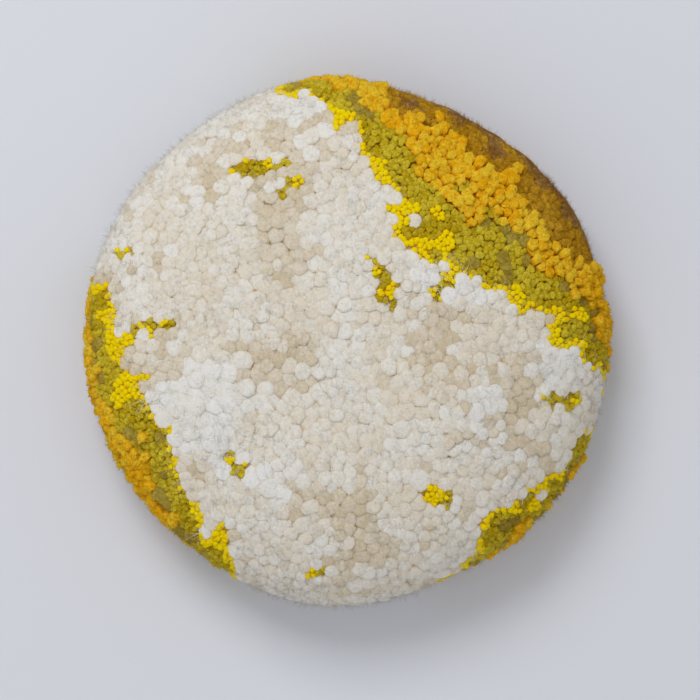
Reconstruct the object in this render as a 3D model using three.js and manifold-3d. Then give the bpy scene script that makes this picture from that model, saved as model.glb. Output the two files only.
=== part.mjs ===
// A round wall piece of hand-tufted wool pile, domed like a muffin over a plain round board.
// Millimetres. X runs to the right and Z up. The wall is the plane y = 0 and the front faces -Y.
// The origin is the middle of the board's back face. A height is a distance from the wall.

import * as THREE from "three";
import { mergeVertices } from "three/addons/utils/BufferGeometryUtils.js";
import Module from "manifold-3d";

const wasm = await Module();
wasm.setup();

const TURN = 2 * Math.PI;
const SLOPE_STEP = 0.002; // share of the section over which its slope is taken

// The dome, as the mean surface of the tuft ends
const DOME_RADIUS = 87;
const DOME_HEIGHT = 53;
const WIDEST_HEIGHT = 19;
const LIP_RADIUS = 81;
const LIP_HEIGHT = 2;
const CROWN_REACH = 0.68; // share of the radius over which the crown stays nearly level
const SHOULDER_REACH = 0.66; // share of the front's height over which the shoulder stays steep
const TUCK_REACH = 0.55; // the same for the part that turns in behind the widest ring

// The outline is a circle with gentle waves, each a few lobes round the rim.
const OUTLINE_WAVES = [
  { lobes: 2, depth: 0.4, crestDegrees: 134 },
  { lobes: 3, depth: 0.6, crestDegrees: 7 },
  { lobes: 4, depth: 0.6, crestDegrees: 89 },
  { lobes: 5, depth: 0.5, crestDegrees: 37 },
  { lobes: 6, depth: 0.35, crestDegrees: 30 },
];

// Broad swells that hand trimming leaves on the dome
const SWELLS = [
  { length: 74, rise: 0.8, headingDegrees: 25, crestAt: 23 },
  { length: 52, rise: 0.6, headingDegrees: 118, crestAt: 14 },
  { length: 39, rise: 0.4, headingDegrees: 70, crestAt: -9 },
];

// The tuft ends: a net of rings with one point in three raised, so each lump stands by itself
const RINGS = 28;
const SIDES = 6; // a ring has this many points for each ring up to it
const LUMP_RISE = 1.9;
const LUMP_SPREAD = 0.9; // how much the lumps differ in height
const HOLLOW_DEPTH = 0.6;
const SIDEWAYS_DRIFT = 0.22; // share of the net's spacing that a point strays sideways
const NET_TWIST_DEGREES = 11;
const PLAIN_RINGS = 2; // rings at the lip with no lumps
const PILE_SEED = 7;

// Locks of pile that lie over the rim, in staggered rows
const LOCKS_A_ROW = 54;
const LOCK_ROWS = [
  { rootShare: 0.755, tipRise: 2.6, length: 16 },
  { rootShare: 0.855, tipRise: 2.4, length: 13 },
];
const LOCK_WIDTH = 4.2;
const LOCK_THICKNESS = 2.6;
const LOCK_ROOT_DEPTH = 1.2;
const LOCK_MIDDLE_RISE = 1.5;
const LOCK_LEAN_DEGREES = 2.4;
const LOCK_LENGTH_SPREAD = 0.25;
const LOCK_SPACING_SPREAD = 0.2; // share of a row's spacing

// The backing board, and the room round it
const BOARD_RADIUS = 76;
const BOARD_THICKNESS = 12;
const BOARD_CHAMFER = 1;
const BOARD_SEGMENTS = 96;
const CLEARANCE = 0.3;

const WOOL_COLOUR = 0xd9d4c8;
const PLYWOOD_COLOUR = 0xc8a878;

// A stream of numbers from 0 to 1, the same on each run
function randomStream(seed) {
  let state = seed >>> 0;
  return () => {
    state = (state + 0x6d2b79f5) >>> 0;
    let t = Math.imul(state ^ (state >>> 15), state | 1);
    t ^= t + Math.imul(t ^ (t >>> 7), t | 61);
    return ((t ^ (t >>> 14)) >>> 0) / 2 ** 32;
  };
}

// Half of the dome's section, from the crown to the lip: x is the radius and y the height.
function domeSection() {
  const crown = new THREE.Vector2(0, DOME_HEIGHT);
  const widest = new THREE.Vector2(DOME_RADIUS, WIDEST_HEIGHT);
  const lip = new THREE.Vector2(LIP_RADIUS, LIP_HEIGHT);
  const shoulderHeight = WIDEST_HEIGHT + SHOULDER_REACH * (DOME_HEIGHT - WIDEST_HEIGHT);
  const tuckHeight = WIDEST_HEIGHT - TUCK_REACH * (WIDEST_HEIGHT - LIP_HEIGHT);
  const section = new THREE.CurvePath();
  section.add(
    new THREE.CubicBezierCurve(
      crown,
      new THREE.Vector2(CROWN_REACH * DOME_RADIUS, DOME_HEIGHT),
      new THREE.Vector2(DOME_RADIUS, shoulderHeight),
      widest,
    ),
  );
  section.add(
    new THREE.QuadraticBezierCurve(widest, new THREE.Vector2(DOME_RADIUS, tuckHeight), lip),
  );
  return section;
}

const section = domeSection();
const sectionLength = section.getLength();

// The outline's radius at an angle, as a share of the dome's mean radius
function outlineShare(angle) {
  let radius = DOME_RADIUS;
  for (const { lobes, depth, crestDegrees } of OUTLINE_WAVES) {
    radius += depth * Math.cos(lobes * (angle - THREE.MathUtils.degToRad(crestDegrees)));
  }
  return radius / DOME_RADIUS;
}

// How far the swells lift the surface at a point seen from the front
function swellRise(x, z) {
  let rise = 0;
  for (const swell of SWELLS) {
    const heading = THREE.MathUtils.degToRad(swell.headingDegrees);
    const along = x * Math.cos(heading) + z * Math.sin(heading);
    rise += swell.rise * Math.cos((TURN * (along - swell.crestAt)) / swell.length);
  }
  return rise;
}

// A point of the pile: share runs along the section from the crown (0) to the lip (1),
// angle goes round from +X to +Z, and rise is measured outwards from the mean surface.
function pilePoint(share, angle, rise) {
  const onSection = section.getPoint(share);
  const before = section.getPoint(Math.max(share - SLOPE_STEP, 0));
  const after = section.getPoint(Math.min(share + SLOPE_STEP, 1));
  const along = after.sub(before).normalize();
  const radius = onSection.x * outlineShare(angle);
  const x = radius * Math.cos(angle);
  const z = radius * Math.sin(angle);
  const lift = share < 1 ? rise + swellRise(x, z) * (1 - share) : 0;
  // The outward normal of the section is its direction turned by a quarter.
  const outX = x - lift * along.y * Math.cos(angle);
  const outZ = z - lift * along.y * Math.sin(angle);
  return new THREE.Vector3(outX, -(onSection.y + lift * along.x), outZ);
}

// The number of the net's first point in a ring
function ringStart(ring) {
  return ring === 0 ? 0 : 1 + (SIDES / 2) * ring * (ring - 1);
}

// A point's number in the net, counted round its ring
function netIndex(ring, place) {
  return ring === 0 ? 0 : ringStart(ring) + (place % (SIDES * ring));
}

// Whether the net raises this point: one in three, so that no two raised points are neighbours
function isLump(ring, place) {
  const corners = [
    [1, 0],
    [0, 1],
    [-1, 1],
    [-1, 0],
    [0, -1],
    [1, -1],
  ];
  const side = ring === 0 ? 0 : Math.floor(place / ring);
  const step = ring === 0 ? 0 : place % ring;
  const [cornerQ, cornerR] = corners[side];
  const [stepQ, stepR] = corners[(side + 2) % SIDES];
  const q = cornerQ * ring + stepQ * step;
  const r = cornerR * ring + stepR * step;
  return (q - r) % 3 === 0;
}

// The points of the lumpy front, ring by ring from the crown to the lip
function netPoints(random) {
  const points = [pilePoint(0, 0, LUMP_RISE)];
  for (let ring = 1; ring <= RINGS; ring += 1) {
    const count = SIDES * ring;
    const plain = ring > RINGS - PLAIN_RINGS;
    const drift = plain ? 0 : SIDEWAYS_DRIFT;
    for (let place = 0; place < count; place += 1) {
      const ringDrift = drift * (2 * random() - 1);
      const placeDrift = drift * (2 * random() - 1);
      const height = isLump(ring, place)
        ? LUMP_RISE - LUMP_SPREAD * random()
        : -HOLLOW_DEPTH * random();
      const share = (ring + ringDrift) / RINGS;
      const twist = THREE.MathUtils.degToRad(NET_TWIST_DEGREES);
      const angle = (TURN * (place + placeDrift)) / count + twist;
      points.push(pilePoint(share, angle, plain ? 0 : height));
    }
  }
  return points;
}

// The triangles between the net's rings, facing out
function netTriangles() {
  const triangles = [];
  for (let ring = 1; ring <= RINGS; ring += 1) {
    const inner = ring - 1;
    for (let side = 0; side < SIDES; side += 1) {
      for (let step = 0; step < ring; step += 1) {
        const outerPlace = side * ring + step;
        const innerPlace = side * inner + step;
        const outer = netIndex(ring, outerPlace);
        const outerNext = netIndex(ring, outerPlace + 1);
        const innerHere = netIndex(inner, innerPlace);
        triangles.push(outer, outerNext, innerHere);
        if (step < inner) {
          triangles.push(innerHere, outerNext, netIndex(inner, innerPlace + 1));
        }
      }
    }
  }
  return triangles;
}

// A geometry of three.js from a list of points and triangles
function geometryOf(points, triangles) {
  const geometry = new THREE.BufferGeometry().setFromPoints(points);
  geometry.setIndex(triangles);
  return geometry;
}

// The whole dome, closed behind by a flat face at the lip's height
function domeGeometry(random) {
  const points = netPoints(random);
  const triangles = netTriangles();
  const middle = points.length;
  points.push(new THREE.Vector3(0, -LIP_HEIGHT, 0));
  const lipCount = SIDES * RINGS;
  for (let place = 0; place < lipCount; place += 1) {
    triangles.push(netIndex(RINGS, place), middle, netIndex(RINGS, place + 1));
  }
  return geometryOf(points, triangles);
}

// One four-sided lock, sunk in the pile at its root and tapering to its tip
function lockGeometry(rootShare, tipShare, angle, lean, tipRise) {
  const root = pilePoint(rootShare, angle, -LOCK_ROOT_DEPTH);
  const middle = pilePoint((rootShare + tipShare) / 2, angle + lean / 2, LOCK_MIDDLE_RISE);
  const tip = pilePoint(tipShare, angle + lean, tipRise);
  const points = [];
  const stations = [
    { at: root, along: middle.clone().sub(root) },
    { at: middle, along: tip.clone().sub(root) },
  ];
  for (const { at, along } of stations) {
    const round = new THREE.Vector3(-Math.sin(angle), 0, Math.cos(angle));
    const across = round.clone().multiplyScalar(LOCK_WIDTH / 2);
    const out = round.clone().cross(along).normalize().multiplyScalar(LOCK_THICKNESS / 2);
    points.push(at.clone().add(across), at.clone().add(out));
    points.push(at.clone().sub(across), at.clone().sub(out));
  }
  const tipIndex = points.push(tip) - 1;
  const triangles = [0, 1, 2, 0, 2, 3];
  for (let side = 0; side < 4; side += 1) {
    const next = (side + 1) % 4;
    triangles.push(side, side + 4, next, next, side + 4, next + 4);
    triangles.push(side + 4, tipIndex, next + 4);
  }
  return geometryOf(points, triangles);
}

// All the locks: the rows are staggered, and each lock differs a little from the next.
function lockGeometries(random) {
  const locks = [];
  LOCK_ROWS.forEach(({ rootShare, tipRise, length }, row) => {
    for (let place = 0; place < LOCKS_A_ROW; place += 1) {
      const stagger = row / LOCK_ROWS.length;
      const angle = (TURN * (place + stagger + LOCK_SPACING_SPREAD * random())) / LOCKS_A_ROW;
      const lean = THREE.MathUtils.degToRad(LOCK_LEAN_DEGREES * (2 * random() - 1));
      const ownLength = length * (1 - LOCK_LENGTH_SPREAD * random());
      const tipShare = rootShare + ownLength / sectionLength;
      locks.push(lockGeometry(rootShare, tipShare, angle, lean, tipRise));
    }
  });
  return locks;
}

// A solid for joining and cutting, from a closed geometry
function solidOf(geometry) {
  const bare = new THREE.BufferGeometry();
  bare.setAttribute("position", geometry.getAttribute("position"));
  bare.setIndex(geometry.index);
  const merged = mergeVertices(bare);
  return new wasm.Manifold(
    new wasm.Mesh({
      numProp: 3,
      vertProperties: merged.getAttribute("position").array,
      triVerts: new Uint32Array(merged.index.array),
    }),
  );
}

// A geometry of three.js from a joined or cut solid
function geometryFromSolid(solid) {
  const mesh = solid.getMesh();
  const geometry = new THREE.BufferGeometry();
  geometry.setAttribute("position", new THREE.BufferAttribute(mesh.vertProperties, mesh.numProp));
  geometry.setIndex(new THREE.BufferAttribute(mesh.triVerts, 1));
  geometry.computeVertexNormals();
  return geometry;
}

// A disc that lies on the wall plane and reaches out to its height, with its axis along -Y
function discGeometry(radius, height, chamfer) {
  const profile = [
    new THREE.Vector2(0, 0),
    new THREE.Vector2(radius - chamfer, 0),
    new THREE.Vector2(radius, chamfer),
    new THREE.Vector2(radius, height - chamfer),
    new THREE.Vector2(radius - chamfer, height),
    new THREE.Vector2(0, height),
  ];
  return new THREE.LatheGeometry(profile, BOARD_SEGMENTS).rotateX(Math.PI);
}

// The pile: the dome with its locks, hollowed behind for the board
function pileMesh() {
  const random = randomStream(PILE_SEED);
  let solid = solidOf(domeGeometry(random));
  for (const lock of lockGeometries(random)) {
    solid = solid.add(solidOf(lock));
  }
  const past = LIP_HEIGHT; // the cutter runs past the lip's face
  const roomHeight = BOARD_THICKNESS + CLEARANCE;
  const room = new THREE.CylinderGeometry(
    BOARD_RADIUS + CLEARANCE,
    BOARD_RADIUS + CLEARANCE,
    roomHeight + past,
    BOARD_SEGMENTS,
  );
  room.translate(0, (past - roomHeight) / 2, 0);
  const material = new THREE.MeshStandardMaterial({ color: WOOL_COLOUR, roughness: 1 });
  const mesh = new THREE.Mesh(geometryFromSolid(solid.subtract(solidOf(room))), material);
  mesh.name = "pile_dome";
  return mesh;
}

// The plain round board that the pile fits over, with its back on the wall
function boardMesh() {
  const material = new THREE.MeshStandardMaterial({ color: PLYWOOD_COLOUR, roughness: 0.7 });
  const mesh = new THREE.Mesh(
    discGeometry(BOARD_RADIUS, BOARD_THICKNESS, BOARD_CHAMFER),
    material,
  );
  mesh.name = "backing_board";
  return mesh;
}

const wallPiece = new THREE.Group();
wallPiece.add(pileMesh(), boardMesh());

export default wallPiece;
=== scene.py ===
"""Dresses a round, domed wall piece of hand-tufted wool pile on a plain plywood board.

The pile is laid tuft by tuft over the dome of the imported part, in metres, in the part's frame:
+Z up, the front facing -Y and the wall at y = 0.
"""

import logging
import math
from dataclasses import dataclass, field, replace
from enum import Enum

import bpy
import numpy as np
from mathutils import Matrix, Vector, noise
from mathutils.kdtree import KDTree


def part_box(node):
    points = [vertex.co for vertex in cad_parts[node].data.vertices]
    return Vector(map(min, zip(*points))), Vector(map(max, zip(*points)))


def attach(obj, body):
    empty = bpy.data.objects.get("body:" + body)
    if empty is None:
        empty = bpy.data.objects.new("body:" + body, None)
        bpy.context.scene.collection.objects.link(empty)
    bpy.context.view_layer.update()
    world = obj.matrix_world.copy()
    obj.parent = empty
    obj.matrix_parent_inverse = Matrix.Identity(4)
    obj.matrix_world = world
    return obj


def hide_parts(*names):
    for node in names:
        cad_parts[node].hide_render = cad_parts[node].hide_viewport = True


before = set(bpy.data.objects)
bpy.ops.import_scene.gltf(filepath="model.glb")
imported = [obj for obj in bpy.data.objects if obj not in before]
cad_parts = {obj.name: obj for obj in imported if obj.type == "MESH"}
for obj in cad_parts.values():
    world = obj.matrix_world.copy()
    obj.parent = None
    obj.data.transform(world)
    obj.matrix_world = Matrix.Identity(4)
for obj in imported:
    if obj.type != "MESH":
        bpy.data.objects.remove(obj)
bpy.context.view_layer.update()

LOG = logging.getLogger("wool_dome")
MM = 0.001
TURN = 2 * math.pi
BODY = "root"
WALL_GAP = 0.15 * MM
TINY = 1e-12
FIRST_SEED = 100


def mixed(low: float | np.ndarray, high: float | np.ndarray, share: np.ndarray) -> np.ndarray:
    """A value between low and high."""
    return low + (high - low) * share


def unit(vectors: np.ndarray) -> np.ndarray:
    """Vectors of length one, along the last axis."""
    return vectors / np.maximum(np.linalg.norm(vectors, axis=-1, keepdims=True), TINY)


def smooth_noise(points: np.ndarray, grain: float, shift: float) -> np.ndarray:
    """Smooth noise at points in space.

    Args:
        points: places, one row each, in metres.
        grain: size of the noise's lumps, in metres.
        shift: moves the pattern, so that two calls don't repeat each other.

    Returns:
        One value for each point, from about -1 to 1.
    """
    offset = Vector((shift, 2.3 * shift, -1.7 * shift))
    return np.array([noise.noise(Vector(p) / grain + offset) for p in points.tolist()])


@dataclass(frozen=True)
class Drift:
    """A smooth random drift over the dome: how strong, in lumps how wide, and its own shift."""

    strength: float
    grain: float
    shift: float

    def at(self, points: np.ndarray) -> np.ndarray:
        """The drift at each point."""
        return self.strength * smooth_noise(points, self.grain, self.shift)


@dataclass(frozen=True)
class Wave:
    """One gentle wave of the dome's outline."""

    lobes: int
    depth: float
    crest_degrees: float


@dataclass(frozen=True)
class Swell:
    """One broad swell that hand trimming leaves on the dome."""

    length: float
    rise: float
    heading_degrees: float
    crest_at: float


@dataclass
class DomeForm:
    """The mean surface of the tuft ends, as the part has it.

    A share runs along the section from the crown (0) to the lip behind (1), an angle goes
    round from +X to +Z, and a rise is measured outwards from the surface.
    """

    radius: float = 87 * MM
    height: float = 53 * MM
    widest_height: float = 19 * MM
    lip_radius: float = 81 * MM
    lip_height: float = 2 * MM
    crown_reach: float = 0.68
    shoulder_reach: float = 0.66
    tuck_reach: float = 0.55
    samples: int = 240
    waves: tuple[Wave, ...] = (
        Wave(lobes=2, depth=0.4 * MM, crest_degrees=134),
        Wave(lobes=3, depth=0.6 * MM, crest_degrees=7),
        Wave(lobes=4, depth=0.6 * MM, crest_degrees=89),
        Wave(lobes=5, depth=0.5 * MM, crest_degrees=37),
        Wave(lobes=6, depth=0.35 * MM, crest_degrees=30),
    )
    swells: tuple[Swell, ...] = (
        Swell(length=74 * MM, rise=0.8 * MM, heading_degrees=25, crest_at=23 * MM),
        Swell(length=52 * MM, rise=0.6 * MM, heading_degrees=118, crest_at=14 * MM),
        Swell(length=39 * MM, rise=0.4 * MM, heading_degrees=70, crest_at=-9 * MM),
    )
    shares: np.ndarray = field(init=False)
    radii: np.ndarray = field(init=False)
    heights: np.ndarray = field(init=False)
    length: float = field(init=False)
    widest_share: float = field(init=False)

    def __post_init__(self) -> None:
        """Works out the section's table of share, radius and height."""
        t = np.linspace(0, 1, self.samples)[:, None]
        shoulder = self.widest_height + self.shoulder_reach * (self.height - self.widest_height)
        tuck = self.widest_height - self.tuck_reach * (self.widest_height - self.lip_height)
        crown = np.array([0, self.height])
        crown_handle = np.array([self.crown_reach * self.radius, self.height])
        shoulder_handle = np.array([self.radius, shoulder])
        widest = np.array([self.radius, self.widest_height])
        tuck_handle = np.array([self.radius, tuck])
        lip = np.array([self.lip_radius, self.lip_height])
        front = (
            (1 - t) ** 3 * crown
            + 3 * (1 - t) ** 2 * t * crown_handle
            + 3 * (1 - t) * t**2 * shoulder_handle
            + t**3 * widest
        )
        back = (1 - t) ** 2 * widest + 2 * (1 - t) * t * tuck_handle + t**2 * lip
        section = np.vstack([front, back[1:]])
        lengths = np.concatenate([[0], np.cumsum(np.linalg.norm(np.diff(section, axis=0), axis=1))])
        self.length = float(lengths[-1])
        self.shares = lengths / self.length
        self.radii, self.heights = section[:, 0], section[:, 1]
        self.widest_share = float(self.shares[self.samples - 1])

    def outline(self, angles: np.ndarray) -> np.ndarray:
        """The outline's radius at each angle, as a share of the mean radius."""
        waves = [w.depth * np.cos(w.lobes * (angles - math.radians(w.crest_degrees))) for w in self.waves]
        return 1 + sum(waves) / self.radius

    def swell(self, x: np.ndarray, z: np.ndarray) -> np.ndarray:
        """How far the swells lift the surface at points seen from the front."""
        rise = np.zeros_like(x)
        for s in self.swells:
            heading = math.radians(s.heading_degrees)
            along = x * math.cos(heading) + z * math.sin(heading)
            rise += s.rise * np.cos(TURN * (along - s.crest_at) / s.length)
        return rise

    def frames(self, shares: np.ndarray, angles: np.ndarray) -> tuple[np.ndarray, ...]:
        """Places and directions on the mean surface.

        Args:
            shares: shares along the section.
            angles: angles round the dome, in radians.

        Returns:
            Points, outward normals, directions along the section towards the lip, and
            directions round the dome, one row for each share.
        """
        step = 0.004
        radius = np.interp(shares, self.shares, self.radii)
        height = np.interp(shares, self.shares, self.heights)
        ahead, behind = np.minimum(shares + step, 1), np.maximum(shares - step, 0)
        slope = np.stack(
            [
                np.interp(ahead, self.shares, self.radii) - np.interp(behind, self.shares, self.radii),
                np.interp(ahead, self.shares, self.heights) - np.interp(behind, self.shares, self.heights),
            ],
            axis=-1,
        )
        slope = unit(slope)
        cos, sin = np.cos(angles), np.sin(angles)
        zero = np.zeros_like(cos)
        normal = np.stack([-slope[:, 1] * cos, -slope[:, 0], -slope[:, 1] * sin], axis=-1)
        along = np.stack([slope[:, 0] * cos, -slope[:, 1], slope[:, 0] * sin], axis=-1)
        around = np.stack([-sin, zero, cos], axis=-1)
        reach = radius * self.outline(angles)
        points = np.stack([reach * cos, -height, reach * sin], axis=-1)
        lift = self.swell(points[:, 0], points[:, 2]) * (1 - shares)
        return points + normal * lift[:, None], normal, along, around

    def place_of(self, points: np.ndarray) -> tuple[np.ndarray, np.ndarray]:
        """The share and the angle of the surface nearest to each point."""
        angles = np.arctan2(points[:, 2], points[:, 0])
        radius = np.hypot(points[:, 0], points[:, 2]) / self.outline(angles)
        tilt = np.arctan2(-points[:, 1] - self.widest_height, radius)
        tilts = np.arctan2(self.heights - self.widest_height, self.radii)
        return np.interp(-tilt, -tilts, self.shares), angles


class Yarn(Enum):
    """The yarns that the pile is tufted with."""

    CREAM = "cream"
    BEIGE = "beige"
    LEMON = "lemon"
    CHARTREUSE = "chartreuse"
    KHAKI = "khaki"
    GOLD = "gold"
    OCHRE = "ochre"
    BROWN = "brown"
    FLEECE = "fleece"


@dataclass(frozen=True)
class Crescent:
    """A coloured patch that comes in from the rim."""

    angle_degrees: float
    half_span_degrees: float
    depth: float


@dataclass(frozen=True)
class Island:
    """A small coloured patch in the cream."""

    angle_degrees: float
    inward: float
    half_length: float
    half_width: float
    turn_degrees: float


@dataclass
class ColourPlan:
    """Which yarn goes where: a free design of shaded crescents at the rim and small islands.

    A depth is how far a point lies inside a crescent's edge. The bands say how deep each shade
    goes, and drifts make every border ragged. Fleece follows a line just outside the crescents.
    """

    dome: DomeForm
    crescents: tuple[Crescent, ...] = (
        Crescent(angle_degrees=48, half_span_degrees=60, depth=60 * MM),
        Crescent(angle_degrees=205, half_span_degrees=44, depth=35 * MM),
        Crescent(angle_degrees=316, half_span_degrees=27, depth=24 * MM),
    )
    islands: tuple[Island, ...] = (
        Island(angle_degrees=118, inward=37 * MM, half_length=9 * MM, half_width=3.2 * MM, turn_degrees=20),
        Island(angle_degrees=111, inward=48 * MM, half_length=5 * MM, half_width=2.4 * MM, turn_degrees=-15),
        Island(angle_degrees=60, inward=78 * MM, half_length=11 * MM, half_width=3 * MM, turn_degrees=35),
        Island(angle_degrees=30, inward=66 * MM, half_length=6 * MM, half_width=3 * MM, turn_degrees=75),
        Island(angle_degrees=158, inward=20 * MM, half_length=5 * MM, half_width=2.5 * MM, turn_degrees=60),
        Island(angle_degrees=176, inward=36 * MM, half_length=8 * MM, half_width=2.6 * MM, turn_degrees=80),
        Island(angle_degrees=228, inward=46 * MM, half_length=5 * MM, half_width=3 * MM, turn_degrees=10),
        Island(angle_degrees=262, inward=24 * MM, half_length=4 * MM, half_width=2.4 * MM, turn_degrees=0),
        Island(angle_degrees=300, inward=41 * MM, half_length=6 * MM, half_width=2.6 * MM, turn_degrees=50),
        Island(angle_degrees=345, inward=27 * MM, half_length=7 * MM, half_width=2.8 * MM, turn_degrees=85),
    )
    bands: tuple[tuple[Yarn, float], ...] = (
        (Yarn.LEMON, 1.2 * MM),
        (Yarn.CHARTREUSE, 10 * MM),
        (Yarn.KHAKI, 18 * MM),
        (Yarn.GOLD, 33 * MM),
        (Yarn.OCHRE, 44 * MM),
        (Yarn.BROWN, 999 * MM),
    )
    crescent_power: float = 1.5
    crescent_inset: float = 1.2 * MM
    full_raggedness: float = 9 * MM
    edge_drifts: tuple[Drift, ...] = (Drift(11 * MM, 15 * MM, 3.1), Drift(9 * MM, 6.5 * MM, 8.7))
    shade_drift: Drift = Drift(7 * MM, 9 * MM, 6.6)
    least_shade: float = 0.1 * MM
    lemon_edge: float = 3.2 * MM
    lemon_drift: Drift = Drift(9 * MM, 12 * MM, 21.4)
    khaki_drift: Drift = Drift(1.0, 6 * MM, 9.4)
    khaki_up_to: float = 0.02
    beige_drifts: tuple[Drift, ...] = (
        Drift(1.0, 24 * MM, 1.3),
        Drift(0.5, 8 * MM, 4.2),
        Drift(0.6, 2.4 * MM, 17.9),
    )
    beige_above: float = 0.26
    fleece_drift: Drift = Drift(1.0, 26 * MM, 15.2)
    fleece_line: float = 9 * MM
    fleece_fade: float = 0.012 / MM
    fleece_above: float = 0.06
    island_drift: Drift = Drift(0.45, 4 * MM, 5.9)
    island_lemon_drift: Drift = Drift(1.0, 5 * MM, 2.8)
    island_lemon_above: float = 0.12

    def depth_in_crescents(
        self, points: np.ndarray, shares: np.ndarray, angles: np.ndarray
    ) -> np.ndarray:
        """How far each point lies inside the nearest crescent's edge, or below 0 outside."""
        inward = np.maximum((self.dome.widest_share - shares) * self.dome.length, 0)
        ragged = sum(drift.at(points) for drift in self.edge_drifts)
        far_outside = -1.0
        deepest = np.full(len(points), far_outside)
        for c in self.crescents:
            turn = np.angle(np.exp(1j * (angles - math.radians(c.angle_degrees))))
            across = turn / math.radians(c.half_span_degrees)
            edge = c.depth * np.sqrt(np.maximum(1 - across**2, 0)) ** self.crescent_power
            depth = edge - inward + ragged * np.minimum(edge / self.full_raggedness, 1)
            inside = np.where(np.abs(across) < 1, depth, far_outside)
            deepest = np.maximum(deepest, inside - self.crescent_inset)
        return deepest

    def in_islands(self, points: np.ndarray) -> np.ndarray:
        """Whether each point lies on an island."""
        ragged = 1 + self.island_drift.at(points)
        found = np.zeros(len(points), bool)
        for island in self.islands:
            share = np.array([self.dome.widest_share - island.inward / self.dome.length])
            angle = np.array([math.radians(island.angle_degrees)])
            middle, _, along, around = self.dome.frames(share, angle)
            turn = math.radians(island.turn_degrees)
            long_way = math.cos(turn) * around[0] + math.sin(turn) * along[0]
            short_way = math.cos(turn) * along[0] - math.sin(turn) * around[0]
            offset = points - middle[0]
            lengthways = offset @ long_way / island.half_length
            crossways = offset @ short_way / island.half_width
            near = np.linalg.norm(offset, axis=1) < 2 * island.half_length
            found |= (np.hypot(lengthways, crossways) < ragged) & near
        return found

    def yarns(self, points: np.ndarray, shares: np.ndarray, angles: np.ndarray) -> np.ndarray:
        """The yarn at each point.

        Args:
            points: places on the dome.
            shares: their shares along the section.
            angles: their angles round the dome.

        Returns:
            An array of members of Yarn.
        """
        chosen = np.full(len(points), Yarn.CREAM, object)
        patchy = sum(drift.at(points) for drift in self.beige_drifts)
        chosen[patchy > self.beige_above] = Yarn.BEIGE
        depth = self.depth_in_crescents(points, shares, angles)
        combed = self.fleece_drift.at(points) - self.fleece_fade * np.abs(depth + self.fleece_line)
        chosen[combed > self.fleece_above] = Yarn.FLEECE
        shade = depth + self.shade_drift.at(points)
        low = 0.0
        for yarn, high in self.bands:
            deep_enough = np.maximum(shade, self.least_shade) > low
            chosen[(depth > 0) & deep_enough & (shade <= high)] = yarn
            low = high
        edging = self.lemon_edge + self.lemon_drift.at(points)
        chosen[(depth > 0) & (depth < edging)] = Yarn.LEMON
        mottled = self.khaki_drift.at(points) > self.khaki_up_to
        chosen[(chosen == Yarn.KHAKI) & mottled] = Yarn.CHARTREUSE
        islands = self.in_islands(points) & (depth <= 0)
        chosen[islands] = Yarn.CHARTREUSE
        chosen[islands & (self.island_lemon_drift.at(points) > self.island_lemon_above)] = Yarn.LEMON
        return chosen


@dataclass(frozen=True)
class Level:
    """One ring of a tuft: -1 is its root, 0 where its head begins and 1 its top."""

    level: float
    girth: float


# The outlines that a tuft can have, from its root up
CUSHION = (
    Level(-1.0, 0.88),
    Level(0.15, 1.0),
    Level(0.48, 0.94),
    Level(0.71, 0.78),
    Level(0.87, 0.54),
    Level(0.965, 0.28),
)
BEAD = (Level(-1.0, 0.7), Level(-0.1, 0.92), Level(0.35, 1.0), Level(0.72, 0.84), Level(0.93, 0.5))
COLUMN = (Level(-1.0, 0.72), Level(-0.1, 0.9), Level(0.5, 1.0), Level(0.8, 0.84), Level(0.95, 0.5))
STUB = (Level(-1.0, 0.85), Level(0.2, 1.0), Level(0.86, 0.82))


@dataclass(frozen=True)
class TuftShape:
    """How the tufts of one yarn stand, in metres.

    The pitch is the distance between neighbours, the fill how much of its room a tuft takes up,
    the head its rounded end and the stem what is below. The top rise is measured from the
    dome's mean surface. Fuzz is loose fibre ends, which lift off the surface or lie combed on it.
    A cut yarn opens into its plies, which show as lobes. Evenness says how far a tuft is shaded
    alike all round.
    """

    pitch: float
    fill: float
    head: float
    stem: float
    top_rise: float
    rise_spread: float
    levels: tuple[Level, ...]
    sides: int
    fuzz_count: int
    fuzz_length: float
    fuzz_width: float = 0.1 * MM
    fuzz_lift: float = 0.8
    fuzz_bends: bool = False
    combing: float = 0.0
    tilt: float = 0.16
    roughness: float = 0.06
    plies: int = 0
    lobing: float = 0.0
    top_roughness: float = 0.05
    evenness: float = 0.3
    rim_lean: float = 0.5
    stray_lean: float = 0.12
    size_spread: float = 0.0


CREAM_TUFT = TuftShape(
    pitch=4.0 * MM,
    fill=1.36,
    head=1.1 * MM,
    stem=2.0 * MM,
    top_rise=1.2 * MM,
    rise_spread=0.3 * MM,
    levels=CUSHION,
    sides=10,
    fuzz_count=16,
    fuzz_length=3.2 * MM,
    fuzz_lift=0.3,
    fuzz_width=0.13 * MM,
    top_roughness=0.03,
    evenness=0.5,
    roughness=0.08,
    size_spread=0.2,
    tilt=0.1,
)
OCHRE_TUFT = TuftShape(
    pitch=2.5 * MM,
    fill=1.2,
    head=1.4 * MM,
    stem=2.0 * MM,
    top_rise=0.4 * MM,
    rise_spread=0.5 * MM,
    levels=BEAD,
    sides=8,
    fuzz_count=26,
    fuzz_length=2.4 * MM,
    fuzz_width=0.16 * MM,
    fuzz_lift=0.5,
    combing=0.7,
    roughness=0.14,
    plies=3,
    lobing=0.1,
    top_roughness=0.2,
    evenness=0.8,
)
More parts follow.
